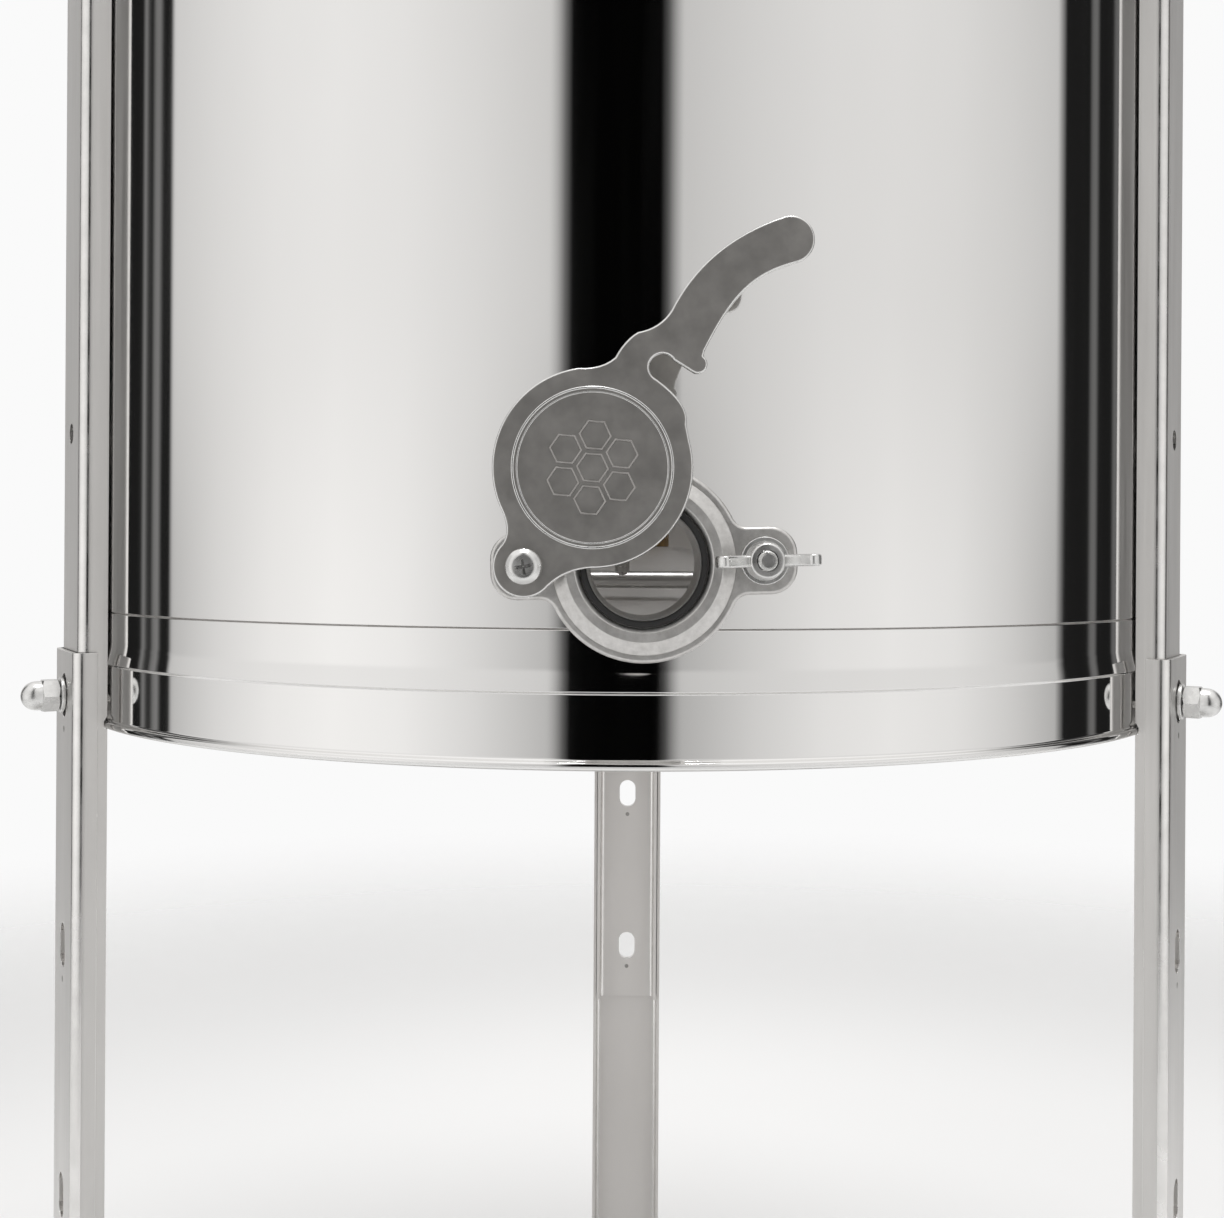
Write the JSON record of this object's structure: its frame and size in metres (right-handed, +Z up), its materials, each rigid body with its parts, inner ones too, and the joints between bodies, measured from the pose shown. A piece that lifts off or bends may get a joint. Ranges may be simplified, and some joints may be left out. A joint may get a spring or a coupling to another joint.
{
  "type": "honey extractor",
  "caption": "Hand-cranked honey extractor: steel drum on slotted channel legs, swinging honey gate, geared crank, hinged half lids and a turning basket.",
  "frame": {"origin": "on the floor, at the centre of the outline seen from above; the drum axis is at x -71.7 mm, y +15.05 mm", "axes": "+Z up along the drum axis, -Y towards the honey gate, +X towards the crank"},
  "size_m": [0.6847, 0.6126, 1.228],
  "materials": {
    "polished_steel": "mirror-polished stainless steel",
    "brushed_steel": "brushed stainless steel",
    "cast_steel": "cast and tumbled stainless steel",
    "zinc_steel": "plated fasteners",
    "bronze": "turned bronze",
    "seal_rubber": "black seal ring",
    "foot_rubber": "black rubber shoe",
    "clear_acrylic": "clear moulded acrylic",
    "grip_plastic": "black moulded plastic"
  },
  "bodies": {
    "frame": {"bottom_bearing": "bronze", "crank_pillar": "cast_steel", "crossbar": "brushed_steel", "crossbar_rivet_left": "zinc_steel", "crossbar_rivet_right": "zinc_steel", "drum_wall": "polished_steel", "foot_left": "foot_rubber", "foot_rear": "foot_rubber", "foot_right": "foot_rubber", "gate_body": "cast_steel", "gate_neck": "brushed_steel", "gate_pivot_nut": "zinc_steel", "gate_pivot_screw": "zinc_steel", "gate_seal": "seal_rubber", "gate_stud": "zinc_steel", "gear_housing": "brushed_steel", "leg_bolt_left": "zinc_steel", "leg_bolt_rear": "zinc_steel", "leg_bolt_right": "zinc_steel", "leg_dome_nut_left": "polished_steel", "leg_dome_nut_rear": "polished_steel", "leg_dome_nut_right": "polished_steel", "leg_rivet_left": "zinc_steel", "leg_rivet_rear": "zinc_steel", "leg_rivet_right": "zinc_steel", "leg_washer_left": "zinc_steel", "leg_washer_rear": "zinc_steel", "leg_washer_right": "zinc_steel", "lid_pin_front": "zinc_steel", "lid_pin_rear": "zinc_steel", "lower_leg_left": "polished_steel", "lower_leg_rear": "polished_steel", "lower_leg_right": "polished_steel", "tank_floor": "brushed_steel", "tank_ring": "polished_steel", "top_bearing": "bronze", "upper_leg_left": "polished_steel", "upper_leg_rear": "polished_steel", "upper_leg_right": "polished_steel"},
    "basket": {"basket_shaft": "brushed_steel", "basket_cage": "brushed_steel", "basket_screen_1": "brushed_steel", "basket_screen_2": "brushed_steel", "basket_screen_3": "brushed_steel", "basket_screen_4": "brushed_steel", "pinion": "cast_steel"},
    "crank": {"crank_shaft": "brushed_steel", "crank_gear": "cast_steel", "crank_arm": "brushed_steel", "crank_grip_pin": "zinc_steel"},
    "crank_grip": {"crank_grip": "grip_plastic"},
    "gate_cover": {"gate_cover": "polished_steel"},
    "gate_washer": {"gate_washer": "zinc_steel"},
    "gate_wing_nut": {"gate_wing_nut": "cast_steel"},
    "lid_rear": {"lid_rear": "clear_acrylic", "lid_knob_rear": "grip_plastic"},
    "lid_front": {"lid_front": "clear_acrylic", "lid_knob_front": "grip_plastic"}
  },
  "joints": [
    {"name": "basket_spin", "type": "hinge", "parent": "frame", "child": "basket", "pos_m": [-0.0717, 0.01505, 0.8], "axis": [0, 0, 1], "continuous": true},
    {"name": "crank_spin", "type": "hinge", "parent": "frame", "child": "crank", "pos_m": [-0.0717, 0.01505, 1.176], "axis": [1, 0, 0], "continuous": true},
    {"name": "crank_grip_spin", "type": "hinge", "parent": "crank", "child": "crank_grip", "pos_m": [0.2883, 0.01505, 1.026], "axis": [1, 0, 0], "continuous": true},
    {"name": "gate_cover_swing", "type": "hinge", "parent": "frame", "child": "gate_cover", "pos_m": [-0.10248, -0.28845, 0.52038], "axis": [0, -1, 0], "range_deg": [-53.8, 75]},
    {"name": "gate_nut_travel", "type": "slide", "parent": "frame", "child": "gate_washer", "axis": [0, -1, 0], "range_m": [0, 0.004]},
    {"name": "gate_nut_turn", "type": "hinge", "parent": "gate_washer", "child": "gate_wing_nut", "pos_m": [-0.02722, -0.29495, 0.52262], "axis": [0, -1, 0], "range_deg": [0, 1440]},
    {"name": "lid_rear_hinge", "type": "hinge", "parent": "frame", "child": "lid_rear", "pos_m": [-0.0717, 0.07705, 1.097], "axis": [1, 0, 0], "range_deg": [0, 95]},
    {"name": "lid_front_hinge", "type": "hinge", "parent": "frame", "child": "lid_front", "pos_m": [-0.0717, -0.04695, 1.097], "axis": [-1, 0, 0], "range_deg": [0, 95]}
  ],
  "couplings": [
    {"joint": "crank_spin", "follows": "basket_spin", "ratio": 0.4},
    {"joint": "gate_nut_travel", "follows": "gate_nut_turn", "m_per_rad": 0.00015915}
  ]
}
